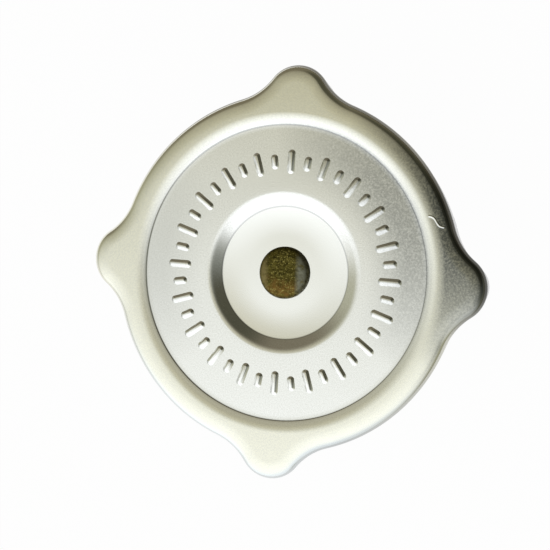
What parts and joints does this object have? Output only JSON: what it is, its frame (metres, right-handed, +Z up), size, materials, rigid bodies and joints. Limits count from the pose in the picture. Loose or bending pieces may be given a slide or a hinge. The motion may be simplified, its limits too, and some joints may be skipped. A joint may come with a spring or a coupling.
{
  "type": "radiator cap",
  "caption": "Round pressed-steel radiator pressure cap with lobed grip rim, recessed face, centre rivet and a sprung valve stack that seals a bayonet filler neck.",
  "frame": {"origin": "centre of the pressure seal's lower face, on which the cap stands", "axes": "+Z up along the cap's axis, grip lobes along X and Y"},
  "size_m": [0.0714, 0.0714, 0.0277],
  "materials": {
    "plated_shell": "satin plated",
    "pressed_steel": "plated",
    "spring_steel": "drawn",
    "brass": "aged",
    "rubber": "moulded matte"
  },
  "bodies": {
    "shell": {"cap_shell": "plated_shell"},
    "bell": {"centre_rivet": "brass", "swivel_washer": "pressed_steel", "spring_diaphragm": "spring_steel", "lip_gasket": "rubber", "spring_seat": "pressed_steel", "bell_housing": "pressed_steel", "pressure_spring": "spring_steel"},
    "pressure_valve": {"pressure_plate": "pressed_steel", "pressure_seal": "rubber", "seal_retainer": "pressed_steel", "vacuum_spring": "spring_steel"},
    "vacuum_valve": {"vacuum_poppet": "brass", "vacuum_seal": "rubber", "stem_cap": "pressed_steel"}
  },
  "joints": [
    {"name": "valve_swivel", "type": "hinge", "parent": "shell", "child": "bell", "pos_m": [0, 0, 0.02575], "axis": [0, 0, 1], "continuous": true},
    {"name": "pressure_lift", "type": "slide", "parent": "bell", "child": "pressure_valve", "axis": [0, 0, 1], "range_m": [0, 0.004], "stiffness_N_per_m": 7800, "springref_m": -0.004, "deforming": ["pressure_spring"]},
    {"name": "vacuum_drop", "type": "slide", "parent": "pressure_valve", "child": "vacuum_valve", "axis": [0, 0, 1], "range_m": [-0.0018, 0], "stiffness_N_per_m": 500, "springref_m": 0.0005, "deforming": ["vacuum_spring"]}
  ]
}
